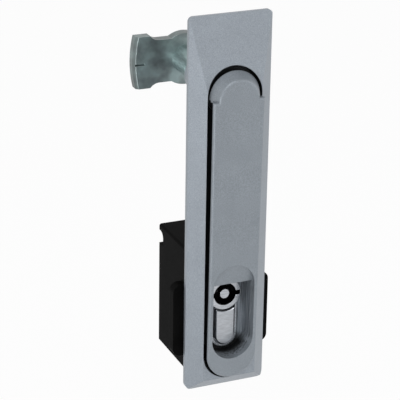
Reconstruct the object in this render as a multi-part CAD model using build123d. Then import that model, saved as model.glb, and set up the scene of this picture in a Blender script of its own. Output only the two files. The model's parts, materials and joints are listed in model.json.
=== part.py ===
from build123d import *
import math
import os

# A padlockable swing handle for a cabinet door.
# X runs to the right, Y into the cabinet and Z up. The origin is the middle of the door seat.
# A height is a distance in front of the door, so what has a negative height is in the cabinet.

# Cover plate
plate_length = 196.0
plate_width = 43.0
plate_corner = 4.0
plate_top_corner = 2.4
gasket_thickness = 1.0
edge_height = 3.0
rim_height = 9.7
side_facet = 7.3
top_facet = 36.0
foot_facet = 6.8
plate_wall = 2.2
plate_skin = 2.2
hub_from_end = 38.5
tub_wall = 1.8
floor_height = 0.5
floor_thickness = 2.5

# Door sheet that the handle is made for
door_thickness = 2.0
paint_allowance = 0.1
door_gap = 0.5
gasket_inset = 0.8

# Clearances that many pieces share
running_gap = 0.06
thread_gap = 0.03
seat_gap = 0.1
face_gap = 0.05
cut_margin = 1.0
same_place = 0.01

# Threaded neck on the back of the plate
neck_radius = 11.0
neck_length = 27.0
washer_bearing = 2.4
washer_thickness = 1.6
nut_across_flats = 30.0
nut_thickness = 6.0
nut_bevel = 0.6
nut_bevel_slope = 1.4

# Hub, shaft and cam
hub_disc_inset = 2.0
hub_disc_thickness = 2.2
hub_barrel_radius = 6.2
hub_barrel_gap = 1.4
shoulder_inset = 0.6
shoulder_sink = 0.1
shoulder_gap = 0.3
shaft_radius = 7.1
spigot_radius = 5.0
spigot_length = 4.0
seal_section = 0.75
seal_depth = 9.0
seal_room = 1.1
square_size = 9.5
square_gap = 0.1
ring_thickness = 1.2
ring_radius = 10.0
ring_groove = 0.7
ring_side_play = 0.1
ring_mouth = 7.0
wave_thickness = 0.4
cam_depth = 52.0
cam_thickness = 5.5
cam_reach = 28.2
cam_head_width = 27.2
cam_head_length = 9.2
cam_waist_width = 22.4
cam_tip_sagitta = 1.6
cam_tip_chamfer = 1.4
cam_shoulder_radius = 6.25
cam_eye_radius = 13.5
cam_slit_length = 5.0
cam_slit_width = 0.9
cam_slit_depth = 1.0
cam_slit_inset = 1.0
cam_screw_radius = 3.0
cam_screw_head = 5.0
cam_screw_head_height = 4.0
cam_screw_length = 12.0
cam_screw_spare = 2.0
cam_washer_radius = 8.0
cam_washer_thickness = 1.6

# Hinge between the hub and the lever
pin_offset = 5.3
pin_sink = 2.0
pin_radius = 2.0
pin_half_length = 8.8
knuckle_half_width = 4.2
knuckle_radius = 3.6
knuckle_side_gap = 0.2
knuckle_round_gap = 0.4
knuckle_mouth_gap = 0.6
web_half_depth = 2.4

# Lever
lever_gap = 0.2
lever_root_height = 15.3
lever_tip_height = 13.1
lever_root_gap = 2.65
lever_foot_gap = 1.35
cap_gap = 0.1
cap_foot_rise = 1.3
lever_edge_round = 1.2
boss_gap = 2.3
boss_rim_gap = 1.3
boss_shift = 1.0
boss_depth = 3.0
boss_skirt_depth = 0.7
boss_draft = 0.47
boss_end_drop = 1.0
skirt_depth = 3.8
lever_skin = 2.4
lever_wall = 3.0
rib_thickness = 1.6
rib_count = 4
hollow_hub_gap = 3.3
hollow_window_gap = 4.8
window_half_width = 11.05
window_length = 51.3
window_overreach = 2.1
ramp_step = 0.6
ramp_run = 10.7
ramp_fall = 2.5

# Cup below the window
cup_wall = 1.2

# Rubber buffers
buffer_radius = 3.0
buffer_post_radius = 4.6
buffer_rise = 2.9
buffer_sink = 2.0
buffer_ribs = (1, 4)

# Lock
barrel_rise = 31.2
nose_radius = 8.75
nose_height = 3.0
nose_gap = 0.15
nose_chamfer = 0.3
socket_radius = 6.0
socket_depth = 9.5
barrel_radius = 6.5
drive_pin_radius = 2.5
drive_pin_front = 0.6
drive_pin_step = 0.5
drive_pin_tail = 4.0
drive_bit_reach = 1.7
drive_bit_width = 1.8
bit_notch_reach = 2.3
bit_notch_width = 2.4
bit_notch_depth = 4.6
bit_notch_overlap = 1.0
tail_radius = 4.5
tail_flat = 3.2
tail_engagement = 1.3
circlip_thickness = 1.0
circlip_inner = 5.0
circlip_outer = 7.4
housing_half_width = 12.5
housing_head = 11.3
housing_depth = 28.0
housing_foot_wall = 1.1
collar_reach = 2.0
collar_groove = 0.9
collar_height = 2.1
crank_radius = 7.0
crank_thickness = 2.2
crank_pin_radius = 1.5
crank_pin_gap = 0.15

# Padlock hasp
hasp_half_width = 5.0
hasp_height = 3.8
hasp_gap = 0.1
hasp_top_gap = 0.45
hasp_hole_radius = 3.75
hasp_nose_wall = 3.0
hasp_travel = 21.0
hasp_edge_chamfer = 0.4
stop_pin_radius = 1.5
stop_pin_depth = 4.6
stop_groove_depth = 1.0
stop_groove_gap = 0.2

# Lock slide and catch
slide_travel = 4.0
slide_half_width = 7.5
slide_thickness = 2.0
slide_leg_thickness = 1.5
slide_gap = 0.3
slide_leg_gap = 0.4
slide_head = 7.3
slide_foot_half_width = 5.5
slide_nose_depth = 5.0
catch_half_width = 3.0
catch_gap = 0.3
catch_pass_gap = 0.2
catch_drop = 0.8
catch_claw_depth = 8.0
catch_claw_thickness = 2.2
catch_shank_thickness = 1.3
catch_overhang = 1.6
catch_plate_half_width = 6.8
catch_plate_thickness = 1.7
catch_plate_length = 3.0
catch_swing_room = 1.2
catch_screw_x = 5.1
catch_screw_radius = 1.25
catch_screw_head = 1.9
catch_screw_head_height = 1.2
catch_screw_depth = 2.0

# Box behind the door
box_half_width = 19.9
box_head_room = 4.4
box_foot_gap = 2.8
box_slide_room = 4.4
box_wall = 1.8
box_corner = 1.2
wing_reach = 6.1
wing_top_drop = 19.5
wing_foot_rise = 7.9
wing_thickness = 5.4
wing_corner = 4.0
notch_top = 3.2
notch_height = 7.2
notch_reach = 2.2
notch_depth = 5.0
notch_round_share = 0.7
notch_pad = 1.8
rib_half_thickness = 0.9
rib_inset = 2.0
post_inset = 1.0
post_gap = 0.4
post_radius = 4.0
boss_bearing_depth = 10.0
plate_boss_radius = 3.2
box_screw_radius = 1.5
box_screw_clearance = 1.7
box_screw_head = 2.75
box_screw_head_height = 2.2
box_screw_bore = 2.95
box_screw_seat = 14.0
box_screw_length = 12.0

# Places that follow from the sizes above
opening_radius = plate_width / 2 - side_facet
hub_z = plate_length / 2 - hub_from_end
foot_z = foot_facet + opening_radius - plate_length / 2
window_foot_z = foot_z - window_overreach
window_top_z = window_foot_z + window_length
barrel_z = window_foot_z + barrel_rise
tub_radius = opening_radius + tub_wall
washer_radius = tub_radius + door_gap + washer_bearing
floor_back = floor_height - floor_thickness
door_back = -door_thickness - paint_allowance
hub_bottom = floor_height + seat_gap
hub_disc_radius = opening_radius - hub_disc_inset
seal_radius = shaft_radius + running_gap / 2 - seal_section
ring_groove_front = -neck_length - 2 * seat_gap - wave_thickness
pin_z = hub_z + pin_offset
pin_height = rim_height - pin_sink
lever_bottom = rim_height + lever_gap
lever_root_half_width = opening_radius - lever_root_gap
lever_foot_radius = opening_radius - lever_foot_gap
skirt_inner_radius = lever_foot_radius - plate_wall
cap_half_width = opening_radius - cap_gap
boss_z = hub_z - boss_shift
boss_skirt_bottom = rim_height - boss_skirt_depth
boss_radius = opening_radius - boss_rim_gap + boss_draft * boss_skirt_depth
boss_bottom = rim_height - boss_depth
skirt_bottom = rim_height - skirt_depth
hollow_top_z = hub_z - hub_disc_radius - hollow_hub_gap
hollow_foot_z = window_top_z + hollow_window_gap
rib_pitch = (hollow_top_z - hollow_foot_z + rib_thickness) / (rib_count + 1)
buffer_places = [hollow_top_z - number * rib_pitch + rib_thickness / 2 for number in buffer_ribs]
window_top_centre = window_top_z - window_half_width
window_foot_centre = window_foot_z + window_half_width
cup_top = lever_bottom - lever_gap
buffer_post_top = lever_bottom - buffer_rise
barrel_front = nose_height - socket_depth
crank_back = face_gap - housing_depth
crank_front = crank_back + crank_thickness
circlip_front = crank_front + seat_gap + circlip_thickness
barrel_back = circlip_front + seat_gap
crank_arm = slide_travel / math.sqrt(2)
crank_offset = crank_arm * math.sqrt(0.5)
slide_front = housing_depth + slide_gap
slide_back = slide_front + slide_thickness
box_depth = slide_back + box_slide_room + box_wall
catch_top_z = window_foot_z - cup_wall - catch_drop
catch_shank_z = catch_top_z - catch_overhang
catch_foot_z = catch_shank_z - catch_shank_thickness
catch_screw_z = catch_foot_z + catch_plate_length / 2
slide_foot_z = catch_shank_z + slide_travel + catch_pass_gap
slide_top_z = barrel_z + slide_head
housing_foot_z = slide_foot_z + slide_leg_thickness + slide_leg_gap
housing_top_z = barrel_z + housing_head
hasp_foot_z = housing_foot_z + housing_foot_wall + hasp_gap
hasp_hole_z = hasp_foot_z + hasp_half_width + hasp_hole_radius + face_gap
hasp_hole_height = hasp_height - hasp_nose_wall - hasp_hole_radius
collar_foot_z = hasp_foot_z - collar_reach
post_x = tub_radius - plate_boss_radius - post_inset
post_top_z = housing_top_z + post_radius + post_gap
post_foot_z = housing_foot_z - post_radius - post_gap
post_places = [(x, z) for x in (-post_x, post_x) for z in (post_top_z, post_foot_z)]
box_top_z = post_top_z + post_radius + box_head_room + box_wall
box_foot_z = catch_foot_z - box_foot_gap - box_wall
box_inner_half = box_half_width - box_wall
wing_half_width = box_half_width + wing_reach
wing_top_z = box_top_z - wing_top_drop
wing_foot_z = box_foot_z + wing_foot_rise

cross_plane = Plane(origin=(0, 0, 0), x_dir=(1, 0, 0), z_dir=(0, 0, -1))
side_plane = Plane(origin=(0, 0, 0), x_dir=(0, 0, 1), z_dir=(1, 0, 0))


def slab(outline, back, front):
    """A flat outline in x and z, filled between two heights."""
    return extrude(Plane.XZ.offset(back) * outline, front - back)


def disc(radius, x, z, back, front):
    """A round pin or plate whose axis crosses the door."""
    return slab(Pos(x, z) * Circle(radius), back, front)


def plate_block(half_width, foot, top, back, front):
    """A block centred on x = 0, between two z and two heights."""
    return slab(Pos(0, (foot + top) / 2) * Rectangle(2 * half_width, top - foot), back, front)


def across(points, half_width):
    """A side profile drawn in z and height, filled to both sides."""
    return extrude(side_plane * Polygon(*points, align=None), half_width, both=True)


def round_ended(top_radius, top, foot_radius, foot):
    """The outline of two circles on the centre line, joined by straight sides."""
    upper = Pos(0, top) * Circle(top_radius)
    lower = Pos(0, foot) * Circle(foot_radius)
    return make_hull(upper.edges() + lower.edges())


def cross_pin(radius, z, height, half_length):
    """A round pin along X."""
    return extrude(side_plane * (Pos(z, height) * Circle(radius)), half_length, both=True)


def upright_pin(radius, height, foot, top):
    """A round pin along Z in the middle of the door, between two z."""
    return extrude(cross_plane.offset(-top) * (Pos(0, height) * Circle(radius)), top - foot)


def lever_top(z):
    """Height of the lever's sloping face."""
    fall = (lever_root_height - lever_tip_height) / (hub_z - foot_z)
    return lever_root_height - fall * (hub_z - z)


def window_outline(wall):
    """The window's long round outline, made larger by a wall."""
    radius = window_half_width + wall
    return round_ended(radius, window_top_centre, radius, window_foot_centre)


def hipped_form(inset, skin, back):
    """The cover's four-sided form, made smaller by a side inset and a skin."""
    rise = rim_height - edge_height
    crown = rim_height - skin
    half_width = plate_width / 2 - inset
    half_length = plate_length / 2 - inset
    side_edge = edge_height + rise * inset / side_facet - skin
    top_edge = edge_height + rise * inset / top_facet - skin
    foot_edge = edge_height + rise * inset / foot_facet - skin
    cross_points = [
        (-half_width, back),
        (half_width, back),
        (half_width, side_edge),
        (opening_radius, crown),
        (-opening_radius, crown),
        (-half_width, side_edge),
    ]
    side_points = [
        (-half_length, back),
        (half_length, back),
        (half_length, top_edge),
        (plate_length / 2 - top_facet, crown),
        (foot_facet - plate_length / 2, crown),
        (-half_length, foot_edge),
    ]
    ridge = extrude(cross_plane * Polygon(*cross_points, align=None), plate_length / 2, both=True)
    hips = across(side_points, plate_width / 2)
    outline = RectangleRounded(2 * half_width, 2 * half_length, plate_corner)
    upper = RectangleRounded(2 * half_width, half_length, plate_top_corner)
    outline = outline + Pos(0, half_length / 2) * upper
    return ridge & hips & slab(outline, back, rim_height)


def tongue_outline(gap):
    """The hasp's outline: a tongue with a round foot under the lock's nose."""
    centre = hasp_foot_z + hasp_half_width
    half_width = hasp_half_width + gap
    stem = Pos(0, (barrel_z + centre) / 2) * Rectangle(2 * half_width, barrel_z - centre)
    foot = Pos(0, centre) * Circle(half_width)
    return stem + foot - Pos(0, barrel_z) * Circle(nose_radius + hasp_top_gap - gap)


def escutcheon_plate():
    """The cast cover with the recess, the cup under the window and the threaded neck."""
    hollow = hipped_form(plate_wall, plate_skin, gasket_thickness - cut_margin)
    shell = hipped_form(0, 0, gasket_thickness) - hollow
    tub = slab(round_ended(tub_radius, hub_z, tub_radius, foot_z), floor_back, rim_height)
    shell = shell + (tub & hipped_form(0, 0, floor_back))
    recess = round_ended(opening_radius, hub_z, opening_radius, foot_z)
    shell = shell - slab(recess, floor_height, rim_height + cut_margin)
    shell = shell + window_cup()
    plug_foot = buffer_post_top - buffer_sink
    for z in buffer_places:
        shell = shell + disc(buffer_post_radius, 0, z, floor_height, buffer_post_top)
        shell = shell - disc(buffer_radius, 0, z, plug_foot, buffer_post_top + cut_margin)
    shell = shell + disc(neck_radius, 0, hub_z, -neck_length, floor_height)
    shell = shell - disc(shaft_radius + running_gap, 0, hub_z, -neck_length - cut_margin, rim_height)
    shell = shell - disc(nose_radius + nose_gap, 0, barrel_z, floor_back - cut_margin, cup_top)
    shell = shell - slab(tongue_outline(collar_reach + seat_gap), floor_back - cut_margin, cup_top)
    hook_half = catch_half_width + 2 * catch_gap
    hook_foot = catch_foot_z - catch_swing_room
    hook_top = catch_top_z + catch_gap
    shell = shell - plate_block(hook_half, hook_foot, hook_top, floor_back - cut_margin, lever_bottom)
    for x, z in post_places:
        shell = shell + disc(plate_boss_radius, x, z, -boss_bearing_depth, floor_back)
        thread_end = box_screw_length - box_screw_seat
        bore_start = -boss_bearing_depth - cut_margin
        shell = shell - disc(box_screw_radius + thread_gap, x, z, bore_start, thread_end)
    return shell


def window_cup():
    """The wall below the window, with the block that carries the finger ramp's lip."""
    cup = slab(window_outline(cup_wall), floor_height, cup_top)
    cup = cup - slab(window_outline(0), floor_height, cup_top + cut_margin)
    ramp_foot_z = window_top_z - ramp_run
    block = plate_block(window_half_width, ramp_foot_z, window_top_z, floor_height, cup_top)
    return cup + (block & slab(window_outline(0), floor_height, cup_top))


def plate_gasket():
    """The flat seal between the cover and the door."""
    width = plate_width - 2 * gasket_inset
    length = plate_length - 2 * gasket_inset
    outer = RectangleRounded(width, length, plate_corner - gasket_inset)
    inner = round_ended(tub_radius + door_gap, hub_z, tub_radius + door_gap, foot_z)
    return slab(outer - inner, 0, gasket_thickness)


def rubber_buffers():
    """Two rubber plugs that the closed lever rests on."""
    plugs = []
    for z in buffer_places:
        plugs.append(disc(buffer_radius, 0, z, buffer_post_top - buffer_sink, lever_bottom - face_gap))
    return Compound(children=plugs)


def neck_washer():
    """The washer behind the door."""
    ring = Circle(washer_radius) - Circle(neck_radius + running_gap)
    return slab(Pos(0, hub_z) * ring, door_back - washer_thickness, door_back)


def neck_nut():
    """The hexagon nut on the neck."""
    front = door_back - washer_thickness
    back = front - nut_thickness
    hexagon = RegularPolygon(nut_across_flats / 2, 6, major_radius=False)
    nut = slab(Pos(0, hub_z) * (hexagon - Circle(neck_radius + thread_gap)), back, front)
    bevel_foot = nut_across_flats / 2 + nut_bevel
    bevel_top = bevel_foot + nut_thickness * nut_bevel_slope
    bevel = Cone(bevel_foot, bevel_top, nut_thickness, align=(Align.CENTER, Align.CENTER, Align.MIN))
    return nut & (Plane.XZ.offset(back).location * Pos(0, hub_z, 0) * bevel)


def turning_hub():
    """The hub that turns in the recess and holds the lever's hinge pin."""
    hub = disc(hub_disc_radius, 0, hub_z, hub_bottom, hub_bottom + hub_disc_thickness)
    hub = hub + disc(hub_barrel_radius, 0, hub_z, hub_bottom, boss_bottom - hub_barrel_gap)
    shoulder_radius = lever_root_half_width - shoulder_inset
    shoulder_top = rim_height - shoulder_sink
    shoulder = disc(shoulder_radius, 0, hub_z, hub_bottom, shoulder_top)
    shoulder_foot = hub_z - shoulder_radius
    lower_half = plate_block(shoulder_radius, shoulder_foot, boss_z - shoulder_gap, hub_bottom, shoulder_top)
    hub = hub + (shoulder & lower_half)
    web_foot = pin_z - web_half_depth
    web_top = pin_z + web_half_depth
    hub = hub + plate_block(knuckle_half_width, web_foot, web_top, hub_bottom, pin_height)
    hub = hub + cross_pin(knuckle_radius, pin_z, pin_height, knuckle_half_width)
    hub = hub - cross_pin(pin_radius + thread_gap, pin_z, pin_height, knuckle_half_width + cut_margin)
    spigot_top = hub_bottom + spigot_length
    return hub - disc(spigot_radius + thread_gap, 0, hub_z, hub_bottom - cut_margin, spigot_top)


def hub_shaft():
    """The shaft from the hub to the cam, with its grooves and square end."""
    square_end = cam_depth + cam_thickness - seat_gap
    shaft = disc(shaft_radius, 0, hub_z, -cam_depth, hub_bottom)
    shaft = shaft + disc(spigot_radius, 0, hub_z, hub_bottom, hub_bottom + spigot_length)
    shaft = shaft + slab(Pos(0, hub_z) * Rectangle(square_size, square_size), -square_end, -cam_depth)
    seal_groove = Circle(shaft_radius + cut_margin) - Circle(seal_radius - seal_section)
    seal_half = seal_room * seal_section
    shaft = shaft - slab(Pos(0, hub_z) * seal_groove, -seal_depth - seal_half, -seal_depth + seal_half)
    ring_cut = Circle(shaft_radius + cut_margin) - Circle(shaft_radius - ring_groove)
    groove_back = ring_groove_front - ring_thickness - ring_side_play
    shaft = shaft - slab(Pos(0, hub_z) * ring_cut, groove_back, ring_groove_front)
    bore_end = cam_screw_length + cam_screw_spare - square_end
    return shaft - disc(cam_screw_radius + thread_gap, 0, hub_z, -square_end - cut_margin, bore_end)


def hub_seal():
    """The rubber ring in the shaft's front groove."""
    ring = Torus(seal_radius, seal_section)
    return Plane.XZ.offset(-seal_depth).location * Pos(0, hub_z, 0) * ring


def wave_washer():
    """The spring washer between the neck's end and the retaining ring."""
    front = -neck_length - seat_gap
    ring = Circle(ring_radius) - Circle(shaft_radius + seat_gap)
    return slab(Pos(0, hub_z) * ring, front - wave_thickness, front)


def retaining_ring():
    """The open snap ring behind the neck."""
    front = ring_groove_front - ring_side_play / 2
    ring = Circle(ring_radius) - Circle(shaft_radius - ring_groove + face_gap)
    mouth = Pos(0, -ring_radius) * Rectangle(ring_mouth, 2 * spigot_radius)
    return slab(Pos(0, hub_z) * (ring - mouth), front - ring_thickness, front)


def latch_cam():
    """The plated latch arm, with a wide head, a hollowed waist and an arced tip."""
    tip_radius = (cam_head_width / 2) ** 2 / (2 * cam_tip_sagitta) + cam_tip_sagitta / 2
    head = Pos(-cam_reach + cam_head_length / 2, 0) * Rectangle(cam_head_length, cam_head_width)
    arm = Pos(-cam_reach / 2, 0) * Rectangle(cam_reach, cam_waist_width)
    outline = head + arm
    step = (cam_head_width - cam_waist_width) / 2
    run = math.sqrt(cam_shoulder_radius**2 - (cam_shoulder_radius - step) ** 2)
    shoulder_end = cam_head_length - cam_reach + run
    shoulders = Pos(shoulder_end - run / 2, 0) * Rectangle(run, cam_head_width)
    for side in (-1, 1):
        hollow_z = side * (cam_waist_width / 2 + cam_shoulder_radius)
        shoulders = shoulders - Pos(shoulder_end, hollow_z) * Circle(cam_shoulder_radius)
    outline = outline + shoulders
    outline = outline & (Pos(tip_radius - cam_reach, 0) * Circle(tip_radius))
    outline = outline + Circle(cam_eye_radius)
    front = -cam_depth
    back = front - cam_thickness
    cam = slab(Pos(0, hub_z) * outline, back, front)
    tip_edges = cam.edges().filter_by(GeomType.CIRCLE)
    tip_edges = tip_edges.filter_by(lambda e: abs(e.radius - tip_radius) < same_place)
    cam = chamfer(tip_edges.filter_by(lambda e: abs(e.center().Y + front) < same_place), cam_tip_chamfer)
    slit_x = cam_slit_length / 2 - cam_reach + cam_slit_inset
    slit = Pos(slit_x, hub_z - cam_slit_width) * Rectangle(cam_slit_length, cam_slit_width)
    cam = cam - slab(slit, front - cam_slit_depth, front)
    hole = square_size + 2 * square_gap
    return cam - slab(Pos(0, hub_z) * Rectangle(hole, hole), back - cut_margin, front + cut_margin)


def cam_washer():
    """The washer under the cam screw."""
    front = -cam_depth - cam_thickness
    ring = Circle(cam_washer_radius) - Circle(cam_screw_radius + seat_gap)
    return slab(Pos(0, hub_z) * ring, front - cam_washer_thickness, front)


def cam_screw():
    """The hexagon screw that holds the cam on the shaft."""
    seat = -cam_depth - cam_thickness - cam_washer_thickness
    hexagon = RegularPolygon(cam_screw_head, 6, major_radius=False)
    head = slab(Pos(0, hub_z) * hexagon, seat - cam_screw_head_height, seat)
    return head + disc(cam_screw_radius, 0, hub_z, seat, seat + cam_screw_length)


def hinge_pin():
    """The pin that the lever tips on."""
    return cross_pin(pin_radius, pin_z, pin_height, pin_half_length)


def drafted_bar():
    """The lever's bar with sides that spread towards the face, and its skirt round the lower end."""
    lower = round_ended(lever_root_half_width, hub_z, lever_foot_radius, foot_z)
    upper = round_ended(cap_half_width, hub_z, cap_half_width, foot_z + cap_foot_rise)
    front = lever_root_height
    bar = loft([Plane.XZ.offset(lever_bottom) * lower, Plane.XZ.offset(front) * upper], ruled=True)
    foot = foot_z - cap_half_width
    bar = bar & plate_block(cap_half_width, foot, boss_z, lever_bottom, front)
    ring = Circle(lever_foot_radius) - Circle(skirt_inner_radius)
    skirt = slab(Pos(0, foot_z) * ring, skirt_bottom, lever_bottom)
    end = plate_block(lever_foot_radius, foot, window_foot_z - cup_wall, skirt_bottom, lever_bottom)
    return bar + (skirt & end)


def lever_boss():
    """The half-round boss above the hub: a conical skirt with a narrower foot below it."""
    rise = lever_root_height - boss_skirt_bottom + cut_margin
    upright = (Align.CENTER, Align.CENTER, Align.MIN)
    cone = Cone(boss_radius, boss_radius - boss_draft * rise, rise, align=upright)
    cone = Plane.XZ.offset(boss_skirt_bottom).location * Pos(0, boss_z, 0) * cone
    boss = cone + disc(opening_radius - boss_gap, 0, boss_z, boss_bottom, boss_skirt_bottom)
    top = boss_z + boss_radius
    front = boss_skirt_bottom + rise
    above_hub = plate_block(boss_radius, boss_z, top, boss_bottom, front)
    over_bar = plate_block(boss_radius, boss_z - boss_end_drop, top, lever_bottom, front)
    return boss & (above_hub + over_bar)


def lever_shell():
    """The cast lever: a thin cap that lies over the recess."""
    lever = drafted_bar() + lever_boss()
    reach = boss_radius + cut_margin
    above = [
        (hub_z + reach, lever_top(hub_z + reach)),
        (foot_z - reach, lever_top(foot_z - reach)),
        (foot_z - reach, 2 * lever_root_height),
        (hub_z + reach, 2 * lever_root_height),
    ]
    lever = lever - across(above, 2 * boss_radius)
    rim = lever.edges().filter_by(lambda e: abs(e.center().Y + lever_top(e.center().Z)) < same_place)
    lever = fillet(rim, lever_edge_round)
    lever = lever - lever_hollows()
    ramp_foot_z = window_top_z - ramp_run
    ramp_start = lever_top(window_top_z) - ramp_step
    kept_ramp = [
        (window_top_z, ramp_start),
        (ramp_foot_z, ramp_start - ramp_fall),
        (ramp_foot_z, lever_bottom),
        (window_top_z, lever_bottom),
    ]
    window = slab(window_outline(0), 0, lever_root_height + cut_margin)
    lever = lever - (window - across(kept_ramp, window_half_width))
    pocket_half = knuckle_half_width + knuckle_side_gap
    lever = lever - cross_pin(knuckle_radius + knuckle_round_gap, pin_z, pin_height, pocket_half)
    mouth_top = pin_height + knuckle_mouth_gap
    mouth_end = pin_z + knuckle_radius + knuckle_round_gap
    lever = lever - plate_block(pocket_half, boss_z - cut_margin, mouth_end, 0, mouth_top)
    lever = lever - cross_pin(pin_radius + running_gap, pin_z, pin_height, pin_half_length + seat_gap)
    for x in (-catch_screw_x, catch_screw_x):
        bore_top = lever_bottom + catch_screw_depth
        lever = lever - disc(catch_screw_radius + thread_gap, x, catch_screw_z, 0, bore_top)
    return lever


def lever_hollows():
    """The pockets in the lever's underside, parted by cross ribs."""
    half = lever_root_half_width - lever_wall
    pockets = []
    for number in range(rib_count + 1):
        top = hollow_top_z - number * rib_pitch
        foot = top - rib_pitch + rib_thickness
        points = [
            (top, lever_bottom - cut_margin),
            (foot, lever_bottom - cut_margin),
            (foot, lever_top(foot) - lever_skin),
            (top, lever_top(top) - lever_skin),
        ]
        pockets.append(across(points, half))
    return Compound(children=pockets)


def catch_hook():
    """The steel catch under the lever's lower end."""
    shank_front = lever_bottom - catch_plate_thickness
    claw_back = -catch_claw_depth - catch_claw_thickness
    plate_top = catch_foot_z + catch_plate_length
    hook = plate_block(catch_plate_half_width, catch_foot_z, plate_top, shank_front, lever_bottom)
    for x in (-catch_screw_x, catch_screw_x):
        hook = hook - disc(catch_screw_radius + seat_gap, x, catch_screw_z, 0, lever_bottom + cut_margin)
    hook = hook + plate_block(catch_half_width, catch_foot_z, catch_shank_z, claw_back, shank_front)
    return hook + plate_block(catch_half_width, catch_foot_z, catch_top_z, claw_back, -catch_claw_depth)


def catch_screws():
    """The two small screws that hold the catch."""
    seat = lever_bottom - catch_plate_thickness
    screws = []
    for x in (-catch_screw_x, catch_screw_x):
        screw = disc(catch_screw_radius, x, catch_screw_z, seat, lever_bottom + catch_screw_depth)
        head = disc(catch_screw_head, x, catch_screw_z, seat - catch_screw_head_height, seat)
        screws.append(screw + head)
    return Compound(children=screws)


def lock_housing():
    """The lock's body behind the recess, with its round nose and the collar of the tongue in front."""
    through = -housing_depth - cut_margin
    nose = disc(nose_radius, 0, barrel_z, floor_back, nose_height)
    rim = nose.edges().filter_by(lambda e: abs(e.center().Y + nose_height) < same_place)
    body = plate_block(housing_half_width, housing_foot_z, housing_top_z, -housing_depth, floor_back)
    body = body + slab(tongue_outline(collar_reach), floor_back, collar_height)
    body = body + chamfer(rim, nose_chamfer)
    body = body - disc(socket_radius, 0, barrel_z, barrel_front, nose_height + cut_margin)
    notch_width = bit_notch_reach + bit_notch_overlap
    for side in (-1, 1):
        notch_x = side * (socket_radius + (bit_notch_reach - bit_notch_overlap) / 2)
        notch = Pos(notch_x, barrel_z) * Rectangle(notch_width, bit_notch_width)
        body = body - slab(notch, nose_height - bit_notch_depth, nose_height + cut_margin)
    body = body - disc(barrel_radius + running_gap, 0, barrel_z, through, barrel_front)
    body = body - disc(circlip_outer + thread_gap, 0, barrel_z, through, circlip_front + face_gap)
    body = body - slab(tongue_outline(hasp_gap), through, floor_back)
    body = body - slab(tongue_outline(collar_groove), floor_back, nose_height)
    bore_top = hasp_foot_z + stop_groove_depth
    return body - upright_pin(stop_pin_radius + thread_gap, -stop_pin_depth, collar_foot_z, bore_top)


def hasp_stop_pin():
    """The pin in the housing that runs in the hasp's groove."""
    top = hasp_foot_z + stop_groove_depth - stop_groove_gap
    return upright_pin(stop_pin_radius, -stop_pin_depth, housing_foot_z, top)


def lock_barrel():
    """The turning barrel behind the socket, with its flatted tail."""
    front = barrel_front - face_gap
    barrel = disc(barrel_radius, 0, barrel_z, barrel_back, front)
    tail_end = crank_front - tail_engagement + seat_gap
    flats = Pos(0, barrel_z) * (Circle(tail_radius) & Rectangle(2 * tail_radius, 2 * tail_flat))
    barrel = barrel + slab(flats, tail_end, barrel_back)
    seat_radius = drive_pin_radius - drive_pin_step + thread_gap
    return barrel - disc(seat_radius, 0, barrel_z, front - drive_pin_tail, front)


def drive_pin():
    """The key's centre pin, with its two small wings."""
    front = nose_height - drive_pin_front
    back = barrel_front - face_gap
    pin = disc(drive_pin_radius, 0, barrel_z, back, front)
    wings = Pos(0, barrel_z) * Rectangle(2 * (drive_pin_radius + drive_bit_reach), drive_bit_width)
    pin = pin + slab(wings, back, back + socket_depth / 2)
    return pin + disc(drive_pin_radius - drive_pin_step, 0, barrel_z, back - drive_pin_tail, back)


def barrel_circlip():
    """The snap ring that keeps the barrel in its bore."""
    ring = Circle(circlip_outer) - Circle(circlip_inner)
    mouth = Pos(0, -circlip_outer) * Rectangle(circlip_inner, circlip_outer)
    return slab(Pos(0, barrel_z) * (ring - mouth), circlip_front - circlip_thickness, circlip_front)


def lock_crank():
    """The disc staked on the barrel's tail, with the pin that works the slide."""
    flat_room = Rectangle(2 * crank_radius, 2 * (tail_flat + thread_gap))
    flats = Pos(0, barrel_z) * (Circle(tail_radius + thread_gap) & flat_room)
    crank = disc(crank_radius, 0, barrel_z, crank_back, crank_front)
    crank = crank - slab(flats, crank_front - tail_engagement, crank_front + cut_margin)
    return crank + disc(crank_pin_radius, crank_offset, barrel_z + crank_offset, -slide_back, crank_back)


def lock_slide():
    """The bent slide that the crank pushes over the catch."""
    leg_top = slide_foot_z + slide_leg_thickness
    slide = plate_block(slide_half_width, slide_foot_z, slide_top_z, -slide_back, -slide_front)
    slide = slide + plate_block(slide_foot_half_width, slide_foot_z, leg_top, -slide_back, -slide_nose_depth)
    slot_height = 2 * (crank_pin_radius + crank_pin_gap)
    slot_width = slot_height + 4 * (crank_arm - crank_offset)
    slot_x = (crank_arm + crank_offset) / 2
    slot = Pos(slot_x, barrel_z + crank_offset) * Rectangle(slot_width, slot_height)
    slide = slide - slab(slot, -slide_back - cut_margin, -slide_front + cut_margin)
    claw_front = catch_gap - catch_claw_depth
    claw_back = -catch_claw_depth - catch_claw_thickness - catch_gap
    claw_half = catch_half_width + catch_gap
    hole_foot = slide_foot_z - cut_margin
    return slide - plate_block(claw_half, hole_foot, leg_top + cut_margin, claw_back, claw_front)


def padlock_hasp():
    """The tongue that pulls out to take a padlock's shackle."""
    hasp = slab(tongue_outline(0), -housing_depth, hasp_height)
    front_edges = hasp.edges().filter_by(lambda e: abs(e.center().Y + hasp_height) < same_place)
    hasp = chamfer(front_edges, hasp_edge_chamfer)
    hasp = hasp - cross_pin(hasp_hole_radius, hasp_hole_z, hasp_hole_height, hasp_half_width + cut_margin)
    room = stop_pin_radius + stop_groove_gap
    groove_foot = hasp_foot_z - cut_margin
    groove_top = hasp_foot_z + stop_groove_depth
    groove_back = -stop_pin_depth - hasp_travel - room
    return hasp - plate_block(room, groove_foot, groove_top, groove_back, room - stop_pin_depth)


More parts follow.
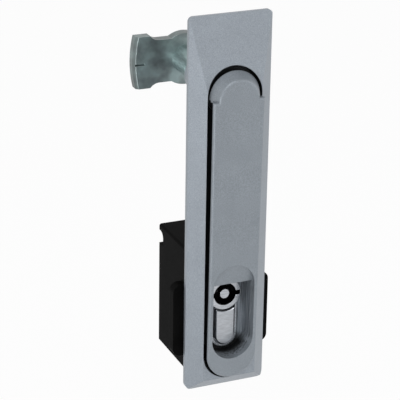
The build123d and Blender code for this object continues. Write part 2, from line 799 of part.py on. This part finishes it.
def rear_lock_box():
    """The moulded box behind the door, with its two clamping wings."""
    box_length = box_top_z - box_foot_z
    outline = RectangleRounded(2 * box_half_width, box_length, box_corner)
    box = slab(Pos(0, (box_foot_z + box_top_z) / 2) * outline, -box_depth, door_back)
    wing_length = wing_top_z - wing_foot_z
    wings = RectangleRounded(2 * wing_half_width, wing_length, wing_corner)
    wings = Pos(0, (wing_foot_z + wing_top_z) / 2) * wings
    box = box + slab(wings, door_back - wing_thickness, door_back)
    inner_foot = box_foot_z + box_wall
    inner_top = box_top_z - box_wall
    inner_back = box_wall - box_depth
    box = box - plate_block(box_inner_half, inner_foot, inner_top, inner_back, door_back + cut_margin)
    pad_half = (notch_reach + notch_pad) / 2
    pad_foot = box_top_z - notch_top - notch_height - notch_pad
    pad_front = notch_depth + notch_pad - box_depth
    pad = plate_block(pad_half, pad_foot, inner_top + face_gap, -box_depth, pad_front)
    for side in (-1, 1):
        box = box + Pos(side * (box_half_width - pad_half), 0, 0) * pad
    for x, z in post_places:
        box = box + disc(post_radius, x, z, -box_depth, -boss_bearing_depth)
        box = box - disc(box_screw_bore, x, z, -box_depth - cut_margin, -box_screw_seat)
        box = box - disc(box_screw_clearance, x, z, -box_screw_seat - cut_margin, 0)
    rib_foot = housing_foot_z + rib_inset
    rib_top = housing_top_z - rib_inset
    rib_back = inner_back - face_gap
    rib = plate_block(rib_half_thickness, rib_foot, rib_top, rib_back, -housing_depth)
    backing_top = barrel_z - crank_radius - cut_margin
    backing_front = -slide_back - slide_gap
    backing = plate_block(rib_half_thickness, rib_foot, backing_top, rib_back, backing_front)
    for side in (-1, 1):
        box = box + Pos(side * (housing_half_width - rib_inset), 0, 0) * rib
        box = box + Pos(side * (slide_half_width - rib_inset), 0, 0) * backing
    return box - box_notches()


def box_notches():
    """The small notches in the box's two upper rear corners, round above and sharp below."""
    top = box_top_z - notch_top
    profile = Pos(top - notch_height / 2, -box_depth) * Rectangle(notch_height, 2 * notch_depth)
    profile = fillet(profile.vertices().sort_by(Axis.X)[-2:], notch_depth * notch_round_share)
    band = extrude(side_plane * profile, box_half_width, both=True)
    return band - plate_block(box_half_width - notch_reach, box_foot_z, box_top_z, -2 * box_depth, 0)


def box_screws():
    """The four screws that clamp the box to the cover."""
    screws = []
    seat = -box_screw_seat
    for x, z in post_places:
        head = disc(box_screw_head, x, z, seat - box_screw_head_height, seat)
        screws.append(head + disc(box_screw_radius, x, z, seat, seat + box_screw_length))
    return Compound(children=screws)


sub_parts = {
    "escutcheon_plate": escutcheon_plate,
    "plate_gasket": plate_gasket,
    "rubber_buffers": rubber_buffers,
    "neck_washer": neck_washer,
    "neck_nut": neck_nut,
    "turning_hub": turning_hub,
    "hub_shaft": hub_shaft,
    "hub_seal": hub_seal,
    "wave_washer": wave_washer,
    "retaining_ring": retaining_ring,
    "latch_cam": latch_cam,
    "cam_washer": cam_washer,
    "cam_screw": cam_screw,
    "hinge_pin": hinge_pin,
    "lever_shell": lever_shell,
    "catch_hook": catch_hook,
    "catch_screws": catch_screws,
    "lock_housing": lock_housing,
    "hasp_stop_pin": hasp_stop_pin,
    "lock_barrel": lock_barrel,
    "drive_pin": drive_pin,
    "barrel_circlip": barrel_circlip,
    "lock_crank": lock_crank,
    "lock_slide": lock_slide,
    "padlock_hasp": padlock_hasp,
    "rear_lock_box": rear_lock_box,
    "box_screws": box_screws,
}

os.makedirs("parts", exist_ok=True)
for name, build_part in sub_parts.items():
    export_step(build_part(), f"parts/{name}.step")
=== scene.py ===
import json
import math

import bpy
from mathutils import Matrix, Vector


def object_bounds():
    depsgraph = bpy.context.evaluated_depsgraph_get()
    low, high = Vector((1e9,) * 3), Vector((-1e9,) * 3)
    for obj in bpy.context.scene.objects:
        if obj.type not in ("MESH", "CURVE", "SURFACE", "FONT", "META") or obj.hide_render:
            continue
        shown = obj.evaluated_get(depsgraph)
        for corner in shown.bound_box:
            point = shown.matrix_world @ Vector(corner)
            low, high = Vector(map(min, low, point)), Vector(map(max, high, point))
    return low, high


# A padlockable swing handle on a plain white ground, seen from the left and a little above.
# Lengths are in metres. X runs to the right, Y into the cabinet and Z up.

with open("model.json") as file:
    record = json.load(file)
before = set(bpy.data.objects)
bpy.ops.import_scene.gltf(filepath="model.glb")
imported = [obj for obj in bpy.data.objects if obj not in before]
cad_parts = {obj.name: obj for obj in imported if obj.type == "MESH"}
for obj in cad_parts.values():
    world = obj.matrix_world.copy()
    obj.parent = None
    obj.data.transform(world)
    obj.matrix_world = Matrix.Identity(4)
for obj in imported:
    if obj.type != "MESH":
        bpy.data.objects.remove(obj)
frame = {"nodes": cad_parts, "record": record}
cad_low, cad_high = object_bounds()

# Camera, fitted to the places of the cover, lever, cam and box in the photograph
camera_azimuth = math.radians(-23.324)
camera_elevation = math.radians(22.273)
camera_roll = math.radians(0.878)
camera_distance = 0.838502
camera_target = Vector((-0.013254, 0.0, 0.003995))
focal_pixels = 1714.575
image_pixels = 400
sensor_width = 36.0

# Ground and surround
floor_drop = 0.09
floor_half_size = 3.0
floor_tone = 0.9
floor_roughness = 0.9
floor_white_share = 0.93
world_strength = 0.62

# Lamps, each with its place, the place it points at, its size and its power
lamps = {
    "key": ((-0.35, -0.7, 0.9), (0, 0, 0), 0.6, 3.2),
    "fill": ((0.8, -0.6, 0.2), (0, 0, 0), 0.8, 1.4),
    "rim": ((-0.7, 0.5, 0.5), (0, 0, 0), 0.5, 0.6),
    "low": ((-0.45, -0.55, -0.25), (0, 0, -0.06), 0.4, 3.5),
}

# Surface grain and the streaks painted as reflections in the window, as sizes of the features and
# heights of the relief
paint_flake = 0.00045
paint_cloud = 0.012
paint_relief = 0.000012
# Size of the dark streaks painted on the window's walls as reflections
reflection_streak_size = 0.0011
plate_patch = 0.004
plate_scratch = 0.0006
plate_relief = 0.00001
cam_patch = 0.012
mould_cloud = 0.01
mould_relief = 0.00002
plastic_grain = 0.0005
rubber_grain = 0.0004
edge_round = 0.00035
edge_samples = 6

# Tones of a finish, as shares of its colour where the noise is low and high
paint_tones = (0.95, 1.05)
fleck_tones = (0.82, 1.18)
plate_tones = (0.82, 1.12)
mould_tones = (0.85, 1.2)

# Noise values between which the flecks and the streaks painted as reflections change
fleck_levels = (0.35, 0.7)
reflection_streak_levels = (0.38, 0.56)

# Gloss of the paint, and how far the moulded pieces' roughness varies
paint_roughness = (0.36, 0.50)
paint_metallic = 0.55
coat_weight = 0.15
coat_roughness = 0.25
mould_variation = 0.06

# Rooms with round ends: half-width, z of the two end arcs, and depths in Y.
# The recess's walls are painted nearly black as shade up to just below the rim, and what stands
# between them a little higher.
recess_ends = (-0.077, 0.0595)
recess_walls = (0.01421, recess_ends, (-0.0092, -0.00045))
recess_posts = (0.0141, recess_ends, (-0.00985, -0.00045))
window_room = (0.01115, (-0.06805, -0.03885), (-0.012, -0.0002))

# Rooms with square corners, as low and high corners, and the width of their soft edge
room_edge = 0.0003
finger_ramp = ((-0.012, -0.012, -0.0394), (0.012, -0.0002, -0.027))
cap_room = ((-0.0145, -0.02, -0.092), (0.0145, -0.005, 0.0573))
key_slot = ((-0.0083, -0.0027, -0.0491), (0.0083, 0.007, -0.0467))
socket_room = ((-0.007, -0.0027, -0.06), (0.007, 0.007, -0.04))
cam_edge = ((-0.05, 0.0524, 0.0), (0.05, 0.0571, 0.1))

# Shade is painted on the window's foot, fading in between these z and these Y
cup_foot_fade = (-0.071, -0.0755)
cup_depth_fade = (-0.0085, -0.0045)

# The lever's sides, painted nearly black as shade, begin at this x and lie below a plane that slopes
# with z
cap_half_width = 0.0112
cap_bottom = -0.0098
cap_top = 0.01285
cap_slope = 0.0161

# The lock's axis in z, and the rings about it that are painted black as shade
barrel_z = -0.0479
barrel_ring = (0.0, 0.00605)
pin_ring = (0.00252, 0.006)

# Shares of its colour that a finish keeps where shade or dark reflections are painted on it
gap_shade_share = 0.06
reflection_streak_share = 0.35
ramp_shade_share = 0.86
cam_edge_shade_share = 0.5
socket_shade_share = 0.02

white = (1.0, 1.0, 1.0)
silver_color = (0.27, 0.30, 0.335)
# The lever's colour is a darker copy of the cover's silver, painted shade on the lever's face
lever_shaded_color = (0.235, 0.262, 0.29)
hub_color = (0.03, 0.032, 0.034)
zinc_color = (0.42, 0.52, 0.52)
nickel_color = (0.46, 0.48, 0.51)
steel_color = (0.42, 0.43, 0.45)
spring_color = (0.14, 0.14, 0.15)
black_metal_color = (0.012, 0.012, 0.013)
plastic_color = (0.0045, 0.0045, 0.0045)
rubber_color = (0.012, 0.012, 0.012)

# Colours of the cam's passivated zinc, by the noise's value
cam_tints = [
    (0.25, (0.13, 0.135, 0.15)),
    (0.42, (0.21, 0.235, 0.24)),
    (0.55, (0.30, 0.355, 0.355)),
    (0.72, (0.45, 0.56, 0.56)),
]


def shade(color, factor):
    """A colour, made darker or lighter by a factor."""
    return tuple(channel * factor for channel in color)


def two_tones(color, tones, levels=(0.3, 0.7)):
    """A colour's darker and lighter tone, each at its noise value."""
    return [(level, shade(color, tone)) for level, tone in zip(levels, tones)]


class Surface:
    """A node-based material under construction. Its places are on the object and move with it."""

    def __init__(self, name):
        self.material = bpy.data.materials.new(name)
        self.material.use_nodes = True
        self.tree = self.material.node_tree
        self.shader = self.tree.nodes["Principled BSDF"]
        self.place = self.add("ShaderNodeTexCoord").outputs["Object"]
        split = self.add("ShaderNodeSeparateXYZ")
        self.link(self.place, split.inputs["Vector"])
        self.x, self.y, self.z = split.outputs

    def add(self, kind, **values):
        node = self.tree.nodes.new(kind)
        for key, value in values.items():
            setattr(node, key, value)
        return node

    def link(self, source, target):
        self.tree.links.new(source, target)

    def noise(self, feature, detail=3.0, roughness=0.55, stretch=(1, 1, 1)):
        """Noise between 0 and 1, with features of about one size."""
        mapping = self.add("ShaderNodeMapping")
        mapping.inputs["Scale"].default_value = stretch
        self.link(self.place, mapping.inputs["Vector"])
        noise = self.add("ShaderNodeTexNoise")
        noise.inputs["Scale"].default_value = 1.0 / feature
        noise.inputs["Detail"].default_value = detail
        noise.inputs["Roughness"].default_value = roughness
        self.link(mapping.outputs["Vector"], noise.inputs["Vector"])
        return noise.outputs["Fac"]

    def between(self, value, low, high, source_low=0.3, source_high=0.7):
        """Maps a value, such as a noise or a place, to a range."""
        remap = self.add("ShaderNodeMapRange")
        remap.inputs["From Min"].default_value = source_low
        remap.inputs["From Max"].default_value = source_high
        remap.inputs["To Min"].default_value = low
        remap.inputs["To Max"].default_value = high
        self.link(value, remap.inputs["Value"])
        return remap.outputs["Result"]

    def ramp(self, value, stops):
        """Maps a noise to colours."""
        ramp = self.add("ShaderNodeValToRGB")
        elements = ramp.color_ramp.elements
        while len(elements) < len(stops):
            elements.new(0.5)
        for element, (position, color) in zip(elements, stops):
            element.position = position
            element.color = (*color, 1.0)
        self.link(value, ramp.inputs["Fac"])
        return ramp.outputs["Color"]

    def math(self, operation, *values):
        """One step of arithmetic on numbers or sockets."""
        node = self.add("ShaderNodeMath", operation=operation)
        for socket, value in zip(node.inputs, values):
            if isinstance(value, (int, float)):
                socket.default_value = value
            else:
                self.link(value, socket)
        return node.outputs["Value"]

    def all_of(self, *factors):
        """The product of factors, 1 where each of them is 1."""
        result = factors[0]
        for factor in factors[1:]:
            result = self.math("MULTIPLY", result, factor)
        return result

    def distance(self, across, along):
        """The length of the way given by its two parts."""
        squares = [self.math("MULTIPLY", part, part) for part in (across, along)]
        return self.math("SQRT", self.math("ADD", *squares))

    def inside(self, corners):
        """A factor that is 1 in a room with square corners and 0 outside it."""
        factors = []
        for value, low, high in zip((self.x, self.y, self.z), *corners):
            factors.append(self.between(value, 0.0, 1.0, low - room_edge, low))
            factors.append(self.between(value, 1.0, 0.0, high, high + room_edge))
        return self.all_of(*factors)

    def round_ended(self, half_width, ends, depths):
        """A factor that is 1 in a room with round ends and 0 outside it."""
        below = self.math("SUBTRACT", ends[0], self.z)
        above = self.math("SUBTRACT", self.z, ends[1])
        past_end = self.math("MAXIMUM", self.math("MAXIMUM", below, above), 0.0)
        return self.all_of(
            self.math("LESS_THAN", self.distance(self.x, past_end), half_width),
            self.math("GREATER_THAN", self.y, depths[0]),
            self.math("LESS_THAN", self.y, depths[1]),
        )

    def under_cap(self):
        """A factor that is 1 on the lever's sides, below its sloping face."""
        aside = self.math("GREATER_THAN", self.math("ABSOLUTE", self.x), cap_half_width)
        low = self.math("GREATER_THAN", self.y, cap_bottom)
        face = self.math("ADD", self.math("MULTIPLY", self.z, cap_slope), cap_top)
        below = self.math("LESS_THAN", self.math("MULTIPLY", self.y, -1.0), face)
        return self.all_of(self.math("MAXIMUM", aside, low), below, self.inside(cap_room))

    def cup_foot(self):
        """A factor that grows to 1 at the foot of the window's cup."""
        low = self.between(self.z, 0.0, 1.0, *cup_foot_fade)
        deep = self.between(self.y, 0.0, 1.0, *cup_depth_fade)
        return self.all_of(low, deep)

    def lock_ring(self, ring):
        """A factor that is 1 in the key's slot and socket, between two radii about the lock's axis."""
        reach = self.distance(self.x, self.math("SUBTRACT", self.z, barrel_z))
        bore = self.all_of(self.math("LESS_THAN", reach, ring[1]), self.inside(socket_room))
        room = self.math("MAXIMUM", bore, self.inside(key_slot))
        return self.all_of(self.math("GREATER_THAN", reach, ring[0]), room)

    def multiplied(self, color, other):
        """The product of two colours."""
        mix = self.add("ShaderNodeMix", data_type="RGBA", blend_type="MULTIPLY")
        mix.inputs["Factor"].default_value = 1.0
        self.link(color, mix.inputs["A"])
        self.link(other, mix.inputs["B"])
        return mix.outputs["Result"]

    def dimmed(self, color, factor, share):
        """A colour, darkened to a share of itself where the factor is 1."""
        mix = self.add("ShaderNodeMix", data_type="RGBA", blend_type="MULTIPLY")
        self.link(factor, mix.inputs["Factor"])
        self.link(color, mix.inputs["A"])
        mix.inputs["B"].default_value = (share, share, share, 1.0)
        return mix.outputs["Result"]

    def bump(self, value, height):
        """Fine relief, with edges softened by a small radius."""
        bump = self.add("ShaderNodeBump")
        bump.inputs["Strength"].default_value = 1.0
        bump.inputs["Distance"].default_value = height
        self.link(value, bump.inputs["Height"])
        bevel = self.add("ShaderNodeBevel", samples=edge_samples)
        bevel.inputs["Radius"].default_value = edge_round
        self.link(bevel.outputs["Normal"], bump.inputs["Normal"])
        self.link(bump.outputs["Normal"], self.shader.inputs["Normal"])

    def finish(self, color, roughness, **values):
        """Links colour and roughness to the shader, sets its other values and gives the material."""
        self.link(color, self.shader.inputs["Base Color"])
        self.link(roughness, self.shader.inputs["Roughness"])
        for name, value in values.items():
            self.shader.inputs[name.replace("_", " ")].default_value = value
        return self.material


def metallic_paint(name, color, dim=None):
    """Silver paint with fine flakes under a satin clear coat."""
    surface = Surface(name)
    cloud = surface.noise(paint_cloud, detail=4.0)
    flake = surface.noise(paint_flake, detail=2.0, roughness=0.7)
    tone = surface.ramp(cloud, two_tones(color, paint_tones, (0.25, 0.75)))
    flecks = surface.ramp(flake, two_tones(white, fleck_tones, fleck_levels))
    result = surface.multiplied(tone, flecks)
    if dim:
        result = dim(surface, result)
    surface.bump(flake, paint_relief)
    return surface.finish(
        result,
        surface.between(flake, *paint_roughness),
        Metallic=paint_metallic,
        Coat_Weight=coat_weight,
        Coat_Roughness=coat_roughness,
    )


def paint_lever_gap_shade(surface, color):
    """The lever's sides, painted nearly black as the shade in the gap beside it."""
    return surface.dimmed(color, surface.under_cap(), gap_shade_share)


def paint_cover_shade_and_reflections(surface, color):
    """The cover's recess, painted nearly black as shade, and its window, with dark streaks painted as
    reflections on its walls, painted shade at its foot and lighter painted shade on the finger ramp.
    """
    window = surface.round_ended(*window_room)
    walls = surface.round_ended(*recess_walls)
    posts = surface.round_ended(*recess_posts)
    recess = surface.math("MAXIMUM", walls, posts)
    gap = surface.all_of(recess, surface.math("SUBTRACT", 1.0, window))
    streaks = surface.noise(reflection_streak_size, detail=2.0, stretch=(1, 1, 0.05))
    streaks = surface.all_of(surface.between(streaks, 1.0, 0.0, *reflection_streak_levels), window)
    color = surface.dimmed(color, gap, gap_shade_share)
    color = surface.dimmed(color, streaks, reflection_streak_share)
    color = surface.dimmed(color, surface.all_of(surface.cup_foot(), window), gap_shade_share)
    return surface.dimmed(color, surface.all_of(surface.inside(finger_ramp), window), ramp_shade_share)


def plated(name, tints, roughness, streak=(1, 1, 6), patch=plate_patch, dim=None):
    """Plated metal, with drawn streaks and soft patches of tint."""
    surface = Surface(name)
    patches = surface.noise(patch, detail=3.0, stretch=streak)
    scratches = surface.noise(plate_scratch, detail=5.0, roughness=0.65, stretch=streak)
    result = surface.ramp(patches, tints)
    if dim:
        result = dim(surface, result)
    surface.bump(scratches, plate_relief)
    return surface.finish(result, surface.between(scratches, *roughness), Metallic=1.0)


def plain_plated(name, color, roughness, dim=None):
    """Plated metal of one colour."""
    return plated(name, two_tones(color, plate_tones), roughness, dim=dim)


def paint_cam_edge_shade(surface, color):
    """The cam's edge, darkened to half as painted shade."""
    return surface.dimmed(color, surface.inside(cam_edge), cam_edge_shade_share)


def paint_socket_shade(surface, color):
    """The key's socket and slot in the barrel and the nose, painted black as the shade deep in them.
    """
    return surface.dimmed(color, surface.lock_ring(barrel_ring), socket_shade_share)


def paint_pin_shade(surface, color):
    """The centre pin's two wings, painted black as the shade deep in the socket."""
    return surface.dimmed(color, surface.lock_ring(pin_ring), socket_shade_share)


def moulded(name, color, roughness, grain, specular):
    """Moulded plastic or rubber with a fine grain."""
    surface = Surface(name)
    cloud = surface.noise(mould_cloud, detail=3.0)
    texture = surface.noise(grain, detail=2.0, roughness=0.6)
    result = surface.ramp(cloud, two_tones(color, mould_tones))
    varied = surface.between(texture, roughness - mould_variation, roughness + mould_variation)
    surface.bump(texture, mould_relief)
    return surface.finish(result, varied, Specular_IOR_Level=specular)


finishes = {
    "silver_paint": metallic_paint("silver_paint", silver_color, paint_cover_shade_and_reflections),
    "lever_paint": metallic_paint("lever_paint", lever_shaded_color, paint_lever_gap_shade),
    "hub_paint": metallic_paint("hub_paint", hub_color),
    "rubber": moulded("rubber", rubber_color, 0.75, rubber_grain, 0.3),
    "zinc_plate": plain_plated("zinc_plate", zinc_color, (0.25, 0.42)),
    "cam_zinc": plated("cam_zinc", cam_tints, (0.28, 0.45), (1, 1, 1), cam_patch, paint_cam_edge_shade),
    "spring_steel": plain_plated("spring_steel", spring_color, (0.3, 0.45)),
    "steel": plain_plated("steel", steel_color, (0.25, 0.4)),
    "bright_nickel": plain_plated("bright_nickel", nickel_color, (0.2, 0.32), paint_socket_shade),
    "pin_nickel": plain_plated("pin_nickel", nickel_color, (0.15, 0.25), paint_pin_shade),
    "hasp_nickel": plain_plated("hasp_nickel", nickel_color, (0.3, 0.42)),
    "black_metal": plain_plated("black_metal", black_metal_color, (0.3, 0.45)),
    "black_plastic": moulded("black_plastic", plastic_color, 0.5, plastic_grain, 0.01),
}


def dress_nodes():
    """Gives each CAD node the finish that its record names."""
    for sub_part in frame["record"]["subparts"]:
        node = frame["nodes"][sub_part["node"]]
        for slot in node.material_slots:
            slot.material = finishes[sub_part["material_slot"]]


def seen_white(tree):
    """A factor that is 1 for what the camera, gloss and glass see directly."""
    path = tree.nodes.new("ShaderNodeLightPath")
    seen = path.outputs["Is Camera Ray"]
    for kind in ("Is Glossy Ray", "Is Transmission Ray"):
        either = tree.nodes.new("ShaderNodeMath")
        either.operation = "MAXIMUM"
        tree.links.new(seen, either.inputs[0])
        tree.links.new(path.outputs[kind], either.inputs[1])
        seen = either.outputs[0]
    return seen


def build_floor():
    """A pale floor that reads as white, with a faint soft shadow."""
    level = cad_low[2] - floor_drop
    mesh = bpy.data.meshes.new("floor")
    size = floor_half_size
    corners = [(-size, -size, level), (size, -size, level), (size, size, level), (-size, size, level)]
    mesh.from_pydata(corners, [], [(0, 1, 2, 3)])
    floor = bpy.data.objects.new("floor", mesh)
    bpy.context.scene.collection.objects.link(floor)
    material = bpy.data.materials.new("floor_white")
    material.use_nodes = True
    tree = material.node_tree
    diffuse = tree.nodes["Principled BSDF"]
    diffuse.inputs["Base Color"].default_value = (floor_tone, floor_tone, floor_tone, 1.0)
    diffuse.inputs["Roughness"].default_value = floor_roughness
    glow = tree.nodes.new("ShaderNodeEmission")
    glow.inputs["Strength"].default_value = 1.0
    share = tree.nodes.new("ShaderNodeMath")
    share.operation = "MULTIPLY"
    share.inputs[1].default_value = floor_white_share
    tree.links.new(seen_white(tree), share.inputs[0])
    mix = tree.nodes.new("ShaderNodeMixShader")
    tree.links.new(share.outputs[0], mix.inputs["Fac"])
    tree.links.new(diffuse.outputs["BSDF"], mix.inputs[1])
    tree.links.new(glow.outputs["Emission"], mix.inputs[2])
    tree.links.new(mix.outputs["Shader"], tree.nodes["Material Output"].inputs["Surface"])
    mesh.materials.append(material)


def build_world():
    """An even studio surround, white where it is seen."""
    world = bpy.data.worlds.new("studio")
    bpy.context.scene.world = world
    world.use_nodes = True
    tree = world.node_tree
    background = tree.nodes["Background"]
    strength = tree.nodes.new("ShaderNodeMapRange")
    strength.inputs["To Min"].default_value = world_strength
    strength.inputs["To Max"].default_value = 1.0
    tree.links.new(seen_white(tree), strength.inputs["Value"])
    background.inputs["Color"].default_value = (*white, 1.0)
    tree.links.new(strength.outputs["Result"], background.inputs["Strength"])


def build_lamps():
    """Soft square lamps, each pointing at its target."""
    for name, (place, target, size, power) in lamps.items():
        data = bpy.data.lights.new(name, "AREA")
        data.size = size
        data.energy = power
        lamp = bpy.data.objects.new(name, data)
        lamp.location = place
        lamp.rotation_euler = (Vector(target) - Vector(place)).to_track_quat("-Z", "Y").to_euler()
        bpy.context.scene.collection.objects.link(lamp)


def build_camera():
    """The camera at the photograph's angle."""
    back = Vector(
        (
            math.sin(camera_azimuth) * math.cos(camera_elevation),
            -math.cos(camera_azimuth) * math.cos(camera_elevation),
            math.sin(camera_elevation),
        )
    )
    level = (-back).cross(Vector((0, 0, 1))).normalized()
    upright = level.cross(-back)
    right = level * math.cos(camera_roll) + upright * math.sin(camera_roll)
    up = upright * math.cos(camera_roll) - level * math.sin(camera_roll)
    data = bpy.data.cameras.new("camera")
    data.sensor_width = sensor_width
    data.lens = focal_pixels / image_pixels * sensor_width
    camera = bpy.data.objects.new("camera", data)
    turn = Matrix((right, up, back)).transposed().to_4x4()
    camera.matrix_world = Matrix.Translation(camera_target + back * camera_distance) @ turn
    bpy.context.scene.collection.objects.link(camera)
    bpy.context.scene.camera = camera


dress_nodes()
build_floor()
build_world()
build_lamps()
build_camera()

bpy.context.scene.view_settings.view_transform = "Standard"
